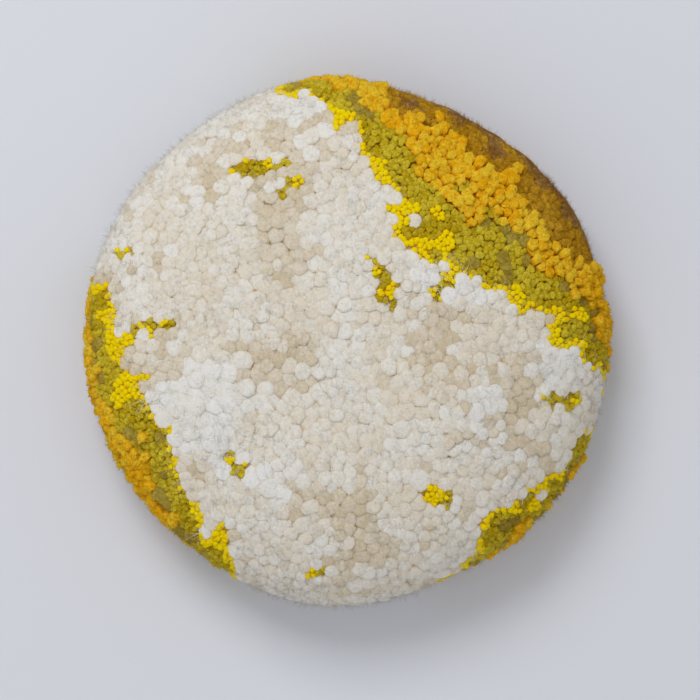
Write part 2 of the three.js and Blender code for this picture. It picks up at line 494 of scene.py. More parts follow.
SHAPES = {
    Yarn.CREAM: CREAM_TUFT,
    Yarn.BEIGE: replace(CREAM_TUFT, fill=1.32, head=1.15 * MM, top_rise=1.1 * MM),
    Yarn.FLEECE: TuftShape(
        pitch=4.6 * MM,
        fill=1.4,
        head=0.9 * MM,
        stem=2.0 * MM,
        top_rise=1.25 * MM,
        rise_spread=0.3 * MM,
        levels=CUSHION,
        sides=12,
        fuzz_count=14,
        fuzz_length=5.5 * MM,
        fuzz_width=0.11 * MM,
        fuzz_lift=0.12,
        fuzz_bends=True,
        combing=1.3,
        roughness=0.08,
        top_roughness=0.03,
        evenness=0.7,
        size_spread=0.25,
        tilt=0.08,
    ),
    Yarn.KHAKI: TuftShape(
        pitch=4.0 * MM,
        fill=1.34,
        head=2.0 * MM,
        stem=2.0 * MM,
        top_rise=1.1 * MM,
        rise_spread=0.4 * MM,
        levels=CUSHION,
        sides=10,
        fuzz_count=34,
        fuzz_length=2.2 * MM,
        fuzz_lift=0.4,
        roughness=0.1,
        plies=5,
        lobing=0.05,
        top_roughness=0.12,
        fuzz_width=0.18 * MM,
        evenness=0.8,
        size_spread=0.2,
    ),
    Yarn.GOLD: TuftShape(
        pitch=2.7 * MM,
        fill=1.26,
        head=1.9 * MM,
        stem=2.5 * MM,
        top_rise=2.1 * MM,
        rise_spread=0.8 * MM,
        levels=COLUMN,
        sides=10,
        fuzz_count=20,
        fuzz_length=1.5 * MM,
        roughness=0.12,
        stray_lean=0.17,
        plies=5,
        lobing=0.16,
        top_roughness=0.2,
        fuzz_width=0.16 * MM,
        evenness=0.8,
        size_spread=0.15,
        fuzz_lift=0.5,
    ),
    Yarn.CHARTREUSE: TuftShape(
        pitch=1.85 * MM,
        fill=1.26,
        head=1.1 * MM,
        stem=2.0 * MM,
        top_rise=0.8 * MM,
        rise_spread=0.6 * MM,
        levels=BEAD,
        sides=8,
        fuzz_count=9,
        fuzz_length=1.3 * MM,
        roughness=0.14,
        plies=3,
        lobing=0.15,
        top_roughness=0.2,
        fuzz_width=0.13 * MM,
        evenness=0.7,
        size_spread=0.15,
    ),
    Yarn.LEMON: TuftShape(
        pitch=1.5 * MM,
        fill=1.2,
        head=0.7 * MM,
        stem=2.0 * MM,
        top_rise=1.3 * MM,
        rise_spread=0.35 * MM,
        levels=STUB,
        sides=6,
        fuzz_count=4,
        fuzz_length=0.9 * MM,
        fuzz_width=0.12 * MM,
        roughness=0.12,
        top_roughness=0.3,
    ),
    Yarn.OCHRE: OCHRE_TUFT,
    Yarn.BROWN: replace(
        OCHRE_TUFT, top_rise=0.3 * MM, fuzz_count=30, fuzz_length=2.6 * MM, combing=0.8
    ),
}


@dataclass
class Planting:
    """Where tufts stand: shares, angles, yarns, and the room round each one.

    Each tuft has the ways to its nearest neighbours, as unit vectors, and how far off the
    border with each lies.
    """

    shares: np.ndarray
    angles: np.ndarray
    yarns: np.ndarray
    ways: np.ndarray
    borders: np.ndarray

    def picked(self, chosen: np.ndarray) -> "Planting":
        """The chosen tufts alone."""
        everything = (self.shares, self.angles, self.yarns, self.ways, self.borders)
        return Planting(*(values[chosen] for values in everything))


@dataclass
class TuftLayout:
    """Sets the tufts out over the dome: scattered first, then nudged apart to an even spread."""

    dome: DomeForm
    plan: ColourPlan
    seed: int = 11
    tries: int = 150000
    batch: int = 2500
    packing: float = 0.8
    nudges: int = 8
    nudge_share: float = 0.3
    first_share: float = 0.002
    last_share: float = 0.985
    least_radius: float = 1.5 * MM
    neighbours: int = 11
    size_drift: Drift = Drift(1.6, 15 * MM, 31.7)
    size_stray: float = 0.8

    def scattered(self, random: np.random.Generator) -> tuple[np.ndarray, np.ndarray]:
        """Shares and angles spread evenly over the dome's area."""
        dome = self.dome
        strips = np.diff(dome.shares) * (dome.radii[1:] + dome.radii[:-1])
        weights = np.concatenate([[0], np.cumsum(strips)])
        shares = np.interp(random.random(self.tries) * weights[-1], weights, dome.shares)
        angles = random.random(self.tries) * TURN - math.pi
        kept = shares < self.last_share
        return shares[kept], angles[kept]

    def tree(self, points: np.ndarray, numbers: list[int] | range) -> KDTree:
        """A tree of the numbered points, for finding neighbours."""
        tree = KDTree(max(len(numbers), 1))
        for i in numbers:
            tree.insert(points[i], i)
        tree.balance()
        return tree

    def thinned(self, points: np.ndarray, room: np.ndarray) -> np.ndarray:
        """Numbers of the points that keep their distance from all those kept before them."""
        kept: list[int] = []
        widest = float(room.max())
        for start in range(0, len(points), self.batch):
            tree = self.tree(points, kept)
            fresh: list[int] = []
            for i in range(start, min(start + self.batch, len(points))):
                near = tree.find_range(points[i], (room[i] + widest) / 2) if kept else []
                if any(distance < (room[i] + room[j]) / 2 for _, j, distance in near):
                    continue
                if fresh:
                    gaps = np.linalg.norm(points[fresh] - points[i], axis=1)
                    if (gaps < (room[fresh] + room[i]) / 2).any():
                        continue
                fresh.append(i)
            kept += fresh
        return np.array(kept)

    def nudged(
        self, shares: np.ndarray, angles: np.ndarray, pitch: np.ndarray
    ) -> tuple[np.ndarray, np.ndarray]:
        """Moves tufts that crowd each other apart, over the surface."""
        reach = float(pitch.max())
        for _ in range(self.nudges):
            points, _, along, around = self.dome.frames(shares, angles)
            tree = self.tree(points, range(len(points)))
            near = [tree.find_range(point, reach) for point in points]
            pairs = [(i, j) for i, found in enumerate(near) for _, j, _ in found if j > i]
            first, second = np.array(pairs).T
            apart = points[first] - points[second]
            gap = np.linalg.norm(apart, axis=1)
            wanted = (pitch[first] + pitch[second]) / 2
            crowding = np.maximum(wanted - gap, 0)[:, None]
            push = apart / np.maximum(gap, TINY)[:, None] * crowding * self.nudge_share
            moves = np.zeros_like(points)
            np.add.at(moves, first, push)
            np.add.at(moves, second, -push)
            radius = np.maximum(np.hypot(points[:, 0], points[:, 2]), self.least_radius)
            shares = shares + np.sum(moves * along, axis=1) / self.dome.length
            angles = angles + np.sum(moves * around, axis=1) / radius
            shares = np.clip(shares, self.first_share, self.last_share)
        return shares, angles

    def planted(self) -> Planting:
        """All the tufts, with the room round each."""
        random = np.random.default_rng(self.seed)
        shares, angles = self.scattered(random)
        points = self.dome.frames(shares, angles)[0]
        yarns = self.plan.yarns(points, shares, angles)
        pitch = np.array([SHAPES[yarn].pitch for yarn in yarns])
        spread = np.array([SHAPES[yarn].size_spread for yarn in yarns])
        stray = random.uniform(-self.size_stray, self.size_stray, len(points))
        pitch *= 1 + spread * (self.size_drift.at(points) + stray)
        kept = self.thinned(points, pitch * self.packing)
        yarns, pitch = yarns[kept], pitch[kept]
        shares, angles = self.nudged(shares[kept], angles[kept], pitch)
        points = self.dome.frames(shares, angles)[0]
        tree = self.tree(points, range(len(points)))
        near = np.array([[j for _, j, _ in tree.find_n(point, self.neighbours)][1:] for point in points])
        offsets = points[near] - points[:, None]
        borders = np.linalg.norm(offsets, axis=2) * pitch[:, None] / (pitch[:, None] + pitch[near])
        return Planting(shares, angles, yarns, unit(offsets), borders)


@dataclass
class MeshParts:
    """Points, faces and point values that are gathered for one mesh."""

    points: list[np.ndarray] = field(default_factory=list)
    quads: list[np.ndarray] = field(default_factory=list)
    triangles: list[np.ndarray] = field(default_factory=list)
    tips: list[np.ndarray] = field(default_factory=list)
    tones: list[np.ndarray] = field(default_factory=list)
    facings: list[np.ndarray] = field(default_factory=list)
    count: int = 0

    def add(
        self,
        points: np.ndarray,
        quads: np.ndarray,
        triangles: np.ndarray,
        tips: np.ndarray,
        tones: np.ndarray,
        facings: np.ndarray | None = None,
    ) -> None:
        """Adds many copies of one small body.

        Args:
            points: places, as copies by points by 3.
            quads: one copy's four-sided faces.
            triangles: one copy's three-sided faces.
            tips: how near each point is to its tuft's tip, as copies by points.
            tones: each copy's place between its yarn's two tones.
            facings: which way each copy is shaded as facing, the longer the more so, or None.
        """
        copies, each = points.shape[:2]
        starts = self.count + each * np.arange(copies)[:, None, None]
        self.points.append(points.reshape(-1, 3))
        self.quads.append((quads[None] + starts).reshape(-1, 4))
        self.triangles.append((triangles[None] + starts).reshape(-1, 3))
        self.tips.append(np.broadcast_to(tips, (copies, each)).ravel())
        self.tones.append(np.repeat(tones, each))
        facings = np.zeros((copies, 3)) if facings is None else facings
        self.facings.append(np.repeat(facings, each, axis=0))
        self.count += copies * each

    def build(self, name: str, material: bpy.types.Material) -> bpy.types.Object:
        """Makes the mesh and its object.

        Args:
            name: the piece's name.
            material: what it is dressed with.

        Returns:
            The new object, in the scene.
        """
        points = np.concatenate(self.points)
        quads, triangles = np.concatenate(self.quads), np.concatenate(self.triangles)
        mesh = bpy.data.meshes.new(name)
        mesh.vertices.add(len(points))
        mesh.vertices.foreach_set("co", points.astype(np.float32).ravel())
        corners = np.concatenate([quads.ravel(), triangles.ravel()])
        mesh.loops.add(len(corners))
        mesh.loops.foreach_set("vertex_index", corners.astype(np.int32))
        starts = np.concatenate([4 * np.arange(len(quads)), quads.size + 3 * np.arange(len(triangles))])
        mesh.polygons.add(len(starts))
        mesh.polygons.foreach_set("loop_start", starts.astype(np.int32))
        for label, values in (("tip", self.tips), ("tone", self.tones)):
            layer = mesh.attributes.new(label, "FLOAT", "POINT")
            layer.data.foreach_set("value", np.concatenate(values).astype(np.float32))
        mesh.update(calc_edges=True)
        mesh.shade_smooth()
        normals = np.empty(points.shape, np.float32)
        mesh.vertices.foreach_get("normal", normals.ravel())
        mesh.normals_split_custom_set_from_vertices(unit(normals + np.concatenate(self.facings)))
        mesh.materials.append(material)
        piece = bpy.data.objects.new(name, mesh)
        bpy.context.scene.collection.objects.link(piece)
        return piece


def stack_faces(rings: int, sides: int) -> tuple[np.ndarray, np.ndarray]:
    """Faces of a closed stack of rings with a point on top.

    Args:
        rings: how many rings, from the bottom up.
        sides: how many points a ring has.

    Returns:
        The four-sided and the three-sided faces, facing out.
    """
    quads, triangles = [], []
    for ring in range(rings - 1):
        for side in range(sides):
            a, b = ring * sides + side, ring * sides + (side + 1) % sides
            quads.append((a, b, b + sides, a + sides))
    last, top = (rings - 1) * sides, rings * sides
    for side in range(sides):
        triangles.append((last + side, last + (side + 1) % sides, top))
    for side in range(1, sides - 1):
        triangles.append((0, side + 1, side))
    return np.array(quads).reshape(-1, 4), np.array(triangles)


def kept_off_wall(points: np.ndarray) -> np.ndarray:
    """Flattens what would reach into the wall."""
    points[..., 1] = np.minimum(points[..., 1], -WALL_GAP)
    return points


@dataclass(frozen=True)
class FuzzHabit:
    """How loose fibre ends sit on a tuft, alike for every yarn.

    The reach is a share of the tuft's half width and the fall one of its head. Stray, splay,
    curl and droop bend a fibre's way, as shares of its direction. The more evenness, the more a
    fibre is shaded like the surface under it.
    """

    reach: float = 0.95
    fall: float = 0.8
    sink: float = 0.15 * MM
    comb_drift: Drift = Drift(TURN, 30 * MM, 12.1)
    comb_stray: float = 0.4
    least_lift: float = 0.3
    stray: float = 0.5
    splay: float = 0.7
    curl: float = 0.35
    droop: float = 0.5
    length_spread: float = 0.5
    width_spread: float = 0.3
    middle_width: float = 0.75
    sides: int = 3
    evenness: float = 3.0


@dataclass
class Pile:
    """The tufts of one yarn in one stretch of the dome, with the loose fibre ends on them.

    A tuft leans towards the lip from one share of the section on, and fully from another. The
    neck is how far below its head it is still light and uneven, in heads: below it the colour darkens to the
    root colour, as painted shade between the tufts.
    """

    name: str
    yarn: Yarn
    dome: DomeForm
    planting: Planting
    seed: int
    rim_starts: float = 0.5
    rim_full: float = 0.86
    corner_sharpness: float = 6.0
    widest_cell: float = 0.9
    tone_drift: Drift = Drift(0.7, 15 * MM, 7.7)
    tone_stray: float = 0.22
    end_rounding: float = 0.6
    ply_twist: float = 0.15
    neck: float = 0.3
    lean_power: float = 1.5
    peak: float = 0.04
    fuzz: FuzzHabit = FuzzHabit()

    def __post_init__(self) -> None:
        """Works out where each tuft stands, how it leans and its tone."""
        self.shape = SHAPES[self.yarn]
        self.random = np.random.default_rng(self.seed)
        shares = self.planting.shares
        self.points, self.normal, self.along, self.around = self.dome.frames(shares, self.planting.angles)
        count = len(shares)
        rim = np.clip((shares - self.rim_starts) / (self.rim_full - self.rim_starts), 0, 1)
        eased = rim * rim * (3 - 2 * rim)
        stray = self.random.normal(0, self.shape.stray_lean, (2, count, 1))
        towards_lip = self.shape.rim_lean * eased[:, None] + stray[0]
        self.lean = self.along * towards_lip + self.around * stray[1]
        self.top = self.shape.top_rise + self.shape.rise_spread * self.random.uniform(-1, 1, count)
        middle_tone = 0.5 + self.tone_drift.at(self.points)
        self.tone = np.clip(middle_tone + self.random.normal(0, self.tone_stray, count), 0, 1)

    def room(self, phi: np.ndarray) -> np.ndarray:
        """How far each tuft can spread towards its neighbours, with rounded corners.

        Args:
            phi: angles round each tuft, as tufts by sides.

        Returns:
            The reach at each of them, in metres.
        """
        cos, sin = np.cos(phi)[..., None], np.sin(phi)[..., None]
        ways = self.along[:, None] * cos + self.around[:, None] * sin
        facing = np.maximum(np.einsum("nsd,nkd->nsk", ways, self.planting.ways), 0)
        close = facing / self.planting.borders[:, None]
        widest = 1 / (self.widest_cell * self.shape.pitch)
        power = self.corner_sharpness
        return (np.sum(close**power, axis=2) + widest**power) ** (-1 / power)

    def add_heads(self, parts: MeshParts) -> None:
        """Adds the tufts themselves: soft rods with rounded ends that fill out their room."""
        shape, random, count = self.shape, self.random, len(self.points)
        levels = np.array([x.level for x in shape.levels])
        girths = np.array([x.girth for x in shape.levels])
        rings = len(levels)
        in_head = np.clip(levels, 0, 1)
        in_neck = np.clip(levels + self.neck, 0, 1)
        phi = random.random((count, 1)) * TURN + TURN * np.arange(shape.sides)[None] / shape.sides
        room = shape.fill * self.room(phi)
        round_room = np.mean(room, axis=1, keepdims=True)
        rounding = in_head[None, :, None] ** 2 * self.end_rounding
        reach = mixed(room[:, None], round_room[:, None], rounding) * girths[None, :, None]
        reach = reach * (1 + shape.roughness * random.uniform(-1, 1, (count, rings, shape.sides)))
        twist = TURN * (random.random((count, 1, 1)) + self.ply_twist * levels[:, None])
        reach = reach * (1 + shape.lobing * np.cos(shape.plies * phi[:, None] + twist))
        x, y = reach * np.cos(phi)[:, None], reach * np.sin(phi)[:, None]
        fall = np.where(levels > 0, (levels - 1) * shape.head, levels * shape.stem - shape.head)
        height = self.top[:, None] + fall[None]
        tilt = shape.tilt * random.normal(0, 1, (2, count, 1, 1)) * in_head[None, None, :, None]
        bumps = shape.top_roughness * shape.head * random.uniform(-1, 1, (count, rings, shape.sides))
        height = height[:, :, None] + tilt[0] * x + tilt[1] * y + bumps * in_neck[:, None]
        bend = ((levels + 1) / 2) ** self.lean_power * (shape.head + shape.stem)
        centre = self.points[:, None] + self.lean[:, None] * bend[None, :, None]
        body = (
            centre[:, :, None]
            + self.along[:, None, None] * x[..., None]
            + self.around[:, None, None] * y[..., None]
            + self.normal[:, None, None] * height[..., None]
        ).reshape(count, -1, 3)
        peak = self.top + self.peak * shape.head
        crown = self.points + self.lean * (shape.head + shape.stem) + self.normal * peak[:, None]
        points = np.concatenate([body, crown[:, None]], axis=1)
        # How far up each ring is: below the neck the wool darkens to its root colour, painted shade between
        # the tufts.
        tip = np.clip((levels + self.neck) / (1 + self.neck), 0, 1)
        tips = np.append(np.repeat(tip, shape.sides), 1.0)
        quads, triangles = stack_faces(rings, shape.sides)
        parts.add(kept_off_wall(points), quads, triangles, tips, self.tone, self.normal * shape.evenness)

    def add_fuzz(self, parts: MeshParts) -> None:
        """Adds the loose fibre ends: thin spikes, each a closed body of three sides."""
        shape, random, fuzz = self.shape, self.random, self.fuzz
        owner = np.repeat(np.arange(len(self.points)), shape.fuzz_count)
        count = len(owner)
        normal, along, around = self.normal[owner], self.along[owner], self.around[owner]
        phi = random.random(count) * TURN
        out = np.sqrt(random.random(count)) * fuzz.reach
        side = along * np.cos(phi)[:, None] + around * np.sin(phi)[:, None]
        spread = out * shape.fill * shape.pitch / 2
        height = self.top[owner] - shape.head * fuzz.fall * out**3 - fuzz.sink
        root = (
            self.points[owner]
            + self.lean[owner] * (shape.head + shape.stem)
            + side * spread[:, None]
            + normal * height[:, None]
        )
        flow = fuzz.comb_drift.at(self.points)[owner] + random.normal(0, fuzz.comb_stray, count)
        combed = along * np.cos(flow)[:, None] + around * np.sin(flow)[:, None]
        upright = shape.fuzz_lift * (fuzz.least_lift + random.exponential(1.0, count))[:, None]
        stray = random.normal(0, fuzz.stray, (count, 3))
        splayed = side * fuzz.splay * out[:, None]
        way = unit(normal * upright + splayed + stray + self.lean[owner] + combed * shape.combing)
        longest, widest = 1 + fuzz.length_spread, 1 + fuzz.width_spread
        length = (shape.fuzz_length * random.uniform(2 - longest, longest, count))[:, None]
        curl = random.normal(0, fuzz.curl, (count, 3))
        middle = root + way * length / 2
        tip = middle + unit(way + curl - fuzz.droop * upright * normal) * length / 2
        # Any direction that a fibre hardly ever lies along gives the section's first axis.
        aside = around + 0.3 * normal
        first = unit(np.cross(way, aside))
        second = np.cross(way, first)
        corners = (TURN * np.arange(fuzz.sides) / fuzz.sides)[None, :, None]
        section = first[:, None] * np.cos(corners) + second[:, None] * np.sin(corners)
        width = shape.fuzz_width / 2 * random.uniform(2 - widest, widest, count)[:, None, None]
        rings = [root[:, None] + section * width]
        if shape.fuzz_bends:
            rings.append(middle[:, None] + section * width * fuzz.middle_width)
        points = np.concatenate([*rings, tip[:, None]], axis=1)
        quads, triangles = stack_faces(len(rings), fuzz.sides)
        tips = np.ones(points.shape[1])
        facing = normal * fuzz.evenness
        parts.add(kept_off_wall(points), quads, triangles, tips, self.tone[owner], facing)

    def build(self, material: bpy.types.Material) -> bpy.types.Object:
        """Makes the piece and reports it."""
        parts = MeshParts()
        self.add_heads(parts)
        self.add_fuzz(parts)
        piece = parts.build(self.name, material)
        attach(piece, BODY)
        LOG.info("%s: %d tufts, %d triangles", self.name, len(self.points), triangle_count(piece))
        return piece


@dataclass
class RimStrands:
    """Long loose strands of yarn brushed flat round the back edge of the pile.

    Every group draws the same strands and keeps those that lie in its own yarns alone. Rises are
    measured outwards from the dome. A strand arches and thickens as a sine does over half a
    turn, from its bluntness on.
    """

    dome: DomeForm
    plan: ColourPlan
    name: str
    yarns: tuple[Yarn, ...]
    dress: Yarn
    seed: int
    count: int = 600
    first_share: float = 0.84
    last_share: float = 0.955
    share_limit: float = 0.975
    shortest: float = 9 * MM
    longest: float = 20 * MM
    thinnest: float = 0.55 * MM
    thickest: float = 1.0 * MM
    slant: float = 0.1
    slant_spread: float = 0.22
    colour_tests: int = 4
    wave_share: float = 0.006
    waves: float = 1.3
    arch_rise: float = 0.9 * MM
    arch_power: float = 0.6
    end_sink: float = 0.2 * MM
    lowest_layer: float = -0.3 * MM
    highest_layer: float = 0.6 * MM
    bluntness: float = 0.12
    taper_end: float = 0.92
    flat_width: float = 1.3
    flat_height: float = 0.8
    tip: float = 0.8
    rings: int = 7
    sides: int = 6

    def laid(self, random: np.random.Generator) -> tuple[np.ndarray, np.ndarray, np.ndarray]:
        """Lays the strands round the dome and keeps those of this group.

        Args:
            random: where the draws come from.

        Returns:
            The shares and the angles along each strand, as strands by steps, and the strands'
            thicknesses.
        """
        share = random.uniform(self.first_share, self.last_share, self.count)
        angle = random.uniform(-math.pi, math.pi, self.count)
        length = random.uniform(self.shortest, self.longest, self.count)
        thickness = random.uniform(self.thinnest, self.thickest, self.count)
        slant = random.normal(self.slant, self.slant_spread, self.count)
        heading = random.choice([-1, 1], self.count)
        chosen = np.ones(self.count, bool)
        for way in np.linspace(0, 1, self.colour_tests):
            passed = angle + way * heading * length / self.dome.radius
            points = self.dome.frames(share, passed)[0]
            chosen &= np.isin(self.plan.yarns(points, share, passed), np.array(self.yarns, object))
        steps = np.linspace(0, 1, self.rings + 1)[None]
        turn = steps * (heading * length * np.cos(slant) / self.dome.radius)[chosen, None]
        drift = steps * (length * np.sin(slant) / self.dome.length)[chosen, None]
        start = random.random((len(turn), 1))
        wave = self.wave_share * np.sin(TURN * (steps * self.waves + start))
        shares = np.clip(share[chosen, None] + drift + wave, self.first_share, self.share_limit)
        return shares, angle[chosen, None] + turn, thickness[chosen]

    def bodies(self, random: np.random.Generator) -> np.ndarray:
        """The points of all the strands, as strands by points by 3."""
        shares, angles, thickness = self.laid(random)
        count = len(shares)
        spine, normal, _, _ = self.dome.frames(shares.ravel(), angles.ravel())
        spine = spine.reshape(count, -1, 3)
        normal = normal.reshape(count, -1, 3)
        steps = np.linspace(0, 1, self.rings + 1)
        arch = np.sin(math.pi * mixed(self.bluntness, 1.0, steps)) ** self.arch_power
        layer = random.uniform(self.lowest_layer, self.highest_layer, (count, 1))
        spine = spine + normal * (self.arch_rise * arch[None] - self.end_sink + layer)[..., None]
        way = unit(np.gradient(spine, axis=1))
        across = unit(np.cross(normal, way))[:, :-1, None]
        out = normal[:, :-1, None]
        phi = TURN * np.arange(self.sides) / self.sides
        girth = np.sqrt(np.sin(math.pi * mixed(self.bluntness, self.taper_end, steps[:-1])))
        half = thickness[:, None, None] / 2 * girth[None, :, None]
        body = (
            spine[:, :-1, None]
            + across * (self.flat_width * half * np.cos(phi))[..., None]
            + out * (self.flat_height * half * np.sin(phi))[..., None]
        )
        return kept_off_wall(np.concatenate([body.reshape(count, -1, 3), spine[:, -1:]], axis=1))

    def build(self, material: bpy.types.Material) -> bpy.types.Object:
        """Makes the piece and reports it."""
        random = np.random.default_rng(self.seed)
        points = self.bodies(random)
        count = len(points)
        quads, triangles = stack_faces(self.rings, self.sides)
        parts = MeshParts()
        tips = np.full(points.shape[1], self.tip)
        parts.add(points, quads, triangles, tips, random.random(count))
        piece = parts.build(self.name, material)
        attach(piece, BODY)
        LOG.info("%s: %d strands, %d triangles", self.name, count, triangle_count(piece))
        return piece


def triangle_count(piece: bpy.types.Object) -> int:
    """How many triangles a piece's mesh has."""
    return sum(len(face.vertices) - 2 for face in piece.data.polygons)


def linear(code: str) -> tuple[float, float, float, float]:
    """Linear colour, with an alpha of one, from an sRGB code such as "#d8d2c4"."""
    values = [int(code[i : i + 2], 16) / 255 for i in (1, 3, 5)]
    curve = [v / 12.92 if v <= 0.04045 else ((v + 0.055) / 1.055) ** 2.4 for v in values]
    return (*curve, 1.0)


def add_node(tree: bpy.types.NodeTree, kind: str, settings: dict | None = None, inputs: dict | None = None):
    """Adds a shader node.

    Args:
        tree: the material's nodes.
        kind: the node's type.
        settings: its properties, by name.
        inputs: its sockets, by name or number: a value, or another node's output to link.

    Returns:
        The new node.
    """
    node = tree.nodes.new(kind)
    for name, value in (settings or {}).items():
        setattr(node, name, value)
    for name, value in (inputs or {}).items():
        if isinstance(value, bpy.types.NodeSocket):
            tree.links.new(value, node.inputs[name])
        else:
            node.inputs[name].default_value = value
    return node


def bare_material(name: str) -> bpy.types.Material:
    """A material with an empty node tree."""
    material = bpy.data.materials.new(name)
    material.use_nodes = True
    material.node_tree.nodes.clear()
    return material


def grain_frequency(size: float) -> float:
    """A noise texture's scale for grains of a size in metres."""
    return 1 / size


@dataclass(frozen=True)
class CutWool:
    """Dyed wool yarn, spun softly and cut across: matt, with a light halo on its rounded ends.

    The eye gets two tones of the dyed yarn from tuft to tuft and a grain of single fibres. Towards its root
    each tuft goes over to a darker root colour, which is painted shade for the shade down between the tufts.
    """

    name: str
    tip: str
    second_tip: str
    # The root colour is painted shade: a darker copy of the yarn for the shade down between the tufts.
    root: str
    roughness: float = 0.95
    sheen: float = 0.35
    grain: float = 0.6 * MM
    grain_depth: float = 0.4 * MM
    grain_contrast: float = 0.16
    mottle: float = 1.1 * MM
    mottle_contrast: float = 0.55

    def build(self) -> bpy.types.Material:
        """Makes the material."""
        material = bare_material(self.name)
        tree = material.node_tree
        place = add_node(tree, "ShaderNodeTexCoord")
        fibres = add_node(
            tree,
            "ShaderNodeTexNoise",
            inputs={
                "Vector": place.outputs["Object"],
                "Scale": grain_frequency(self.grain),
                "Detail": 3.0,
                "Roughness": 0.6,
                "Distortion": 0.5,
            },
        )
        clouds = add_node(
            tree,
            "ShaderNodeTexNoise",
            inputs={"Vector": place.outputs["Object"], "Scale": grain_frequency(self.mottle), "Detail": 2.0},
        )
        drift = add_node(
            tree,
            "ShaderNodeMapRange",
            inputs={
                "Value": clouds.outputs["Fac"],
                "From Min": 0.3,
                "From Max": 0.7,
                "To Min": -self.mottle_contrast,
                "To Max": self.mottle_contrast,
            },
        )
        tone = add_node(tree, "ShaderNodeAttribute", {"attribute_name": "tone"})
        mottled = add_node(
            tree,
            "ShaderNodeMath",
            {"operation": "ADD", "use_clamp": True},
            {0: tone.outputs["Fac"], 1: drift.outputs["Result"]},
        )
        tip = add_node(tree, "ShaderNodeAttribute", {"attribute_name": "tip"})
        colouring = add_node(
            tree,
            "ShaderNodeMix",
            {"data_type": "RGBA"},
            {0: mottled.outputs["Value"], 6: linear(self.tip), 7: linear(self.second_tip)},
        )
        # Painted shade: the colour goes over to the darker root colour towards each tuft's root.
        depth = add_node(
            tree,
            "ShaderNodeMapRange",
            {"interpolation_type": "SMOOTHSTEP"},
            {"Value": tip.outputs["Fac"], "From Min": 0.05, "From Max": 0.85},
        )
        shaded = add_node(
            tree,
            "ShaderNodeMix",
            {"data_type": "RGBA"},
            {0: depth.outputs["Result"], 6: linear(self.root), 7: colouring.outputs[2]},
        )
        grey = add_node(
            tree,
            "ShaderNodeMapRange",
            inputs={
                "Value": fibres.outputs["Fac"],
                "From Min": 0.3,
                "From Max": 0.7,
                "To Min": 1 - self.grain_contrast,
                "To Max": 1.0,
            },
        )
        coloured = add_node(
            tree,
            "ShaderNodeMix",
            {"data_type": "RGBA", "blend_type": "MULTIPLY"},
            {0: 1.0, 6: shaded.outputs[2], 7: grey.outputs["Result"]},
        )
        bump = add_node(
            tree,
            "ShaderNodeBump",
            inputs={"Strength": 0.9, "Distance": self.grain_depth, "Height": fibres.outputs["Fac"]},
        )
        shader = add_node(
            tree,
            "ShaderNodeBsdfPrincipled",
            inputs={
                "Base Color": coloured.outputs[2],
                "Roughness": self.roughness,
                "IOR": 1.54,
                "Specular IOR Level": 0.1,
                "Sheen Weight": self.sheen,
                "Sheen Roughness": 0.5,
                "Sheen Tint": linear(self.tip),
                "Normal": bump.outputs["Normal"],
            },
        )
        add_node(tree, "ShaderNodeOutputMaterial", inputs={"Surface": shader.outputs["BSDF"]})
        return material


# Each yarn's root colour is painted shade: darker than its tips, for the shade down between the tufts and on
# the pile ground.
WOOLS = {
    Yarn.CREAM: CutWool(
        "cut_cream_wool",
        tip="#efece4",
        second_tip="#e7dcc8",
        root="#c8a876",
        grain_contrast=0.04,
    ),
    Yarn.FLEECE: CutWool(
        "combed_fleece",
        tip="#f2f0ec",
        second_tip="#ece7dc",
        root="#cfb994",
        grain_contrast=0.04,
    ),
    Yarn.BEIGE: CutWool(
        "cut_beige_wool",
        tip="#e6dbc8",
        second_tip="#d8c8aa",
        root="#b0946a",
        grain_contrast=0.06,
    ),
    Yarn.LEMON: CutWool(
        "cut_lemon_wool",
        tip="#ffe600",
        second_tip="#ffdc00",
        root="#f6c400",
        sheen=0.05,
    ),
    Yarn.CHARTREUSE: CutWool(
        "cut_chartreuse_wool",
        tip="#e8d23a",
        second_tip="#caaa06",
        root="#b08c10",
        sheen=0.1,
        grain_contrast=0.4,
    ),
    Yarn.KHAKI: CutWool(
        "cut_khaki_wool",
        tip="#c0aa48",
        second_tip="#a3882a",
        root="#84691c",
        grain_contrast=0.3,
    ),
    Yarn.GOLD: CutWool(
        "cut_marigold_wool",
        tip="#ffd836",
        second_tip="#ffb700",
        root="#e89c00",
        sheen=0.1,
        grain_contrast=0.35,
        mottle_contrast=0.8,
    ),
    Yarn.OCHRE: CutWool(
        "cut_ochre_wool",
        tip="#e2ad2e",
        second_tip="#c48c0c",
        root="#9f6a06",
        grain_contrast=0.4,
    ),
    Yarn.BROWN: CutWool(
        "cut_brown_wool",
        tip="#c09652",
        second_tip="#9c6726",
        root="#7f521e",
        grain_contrast=0.4,
    ),
}


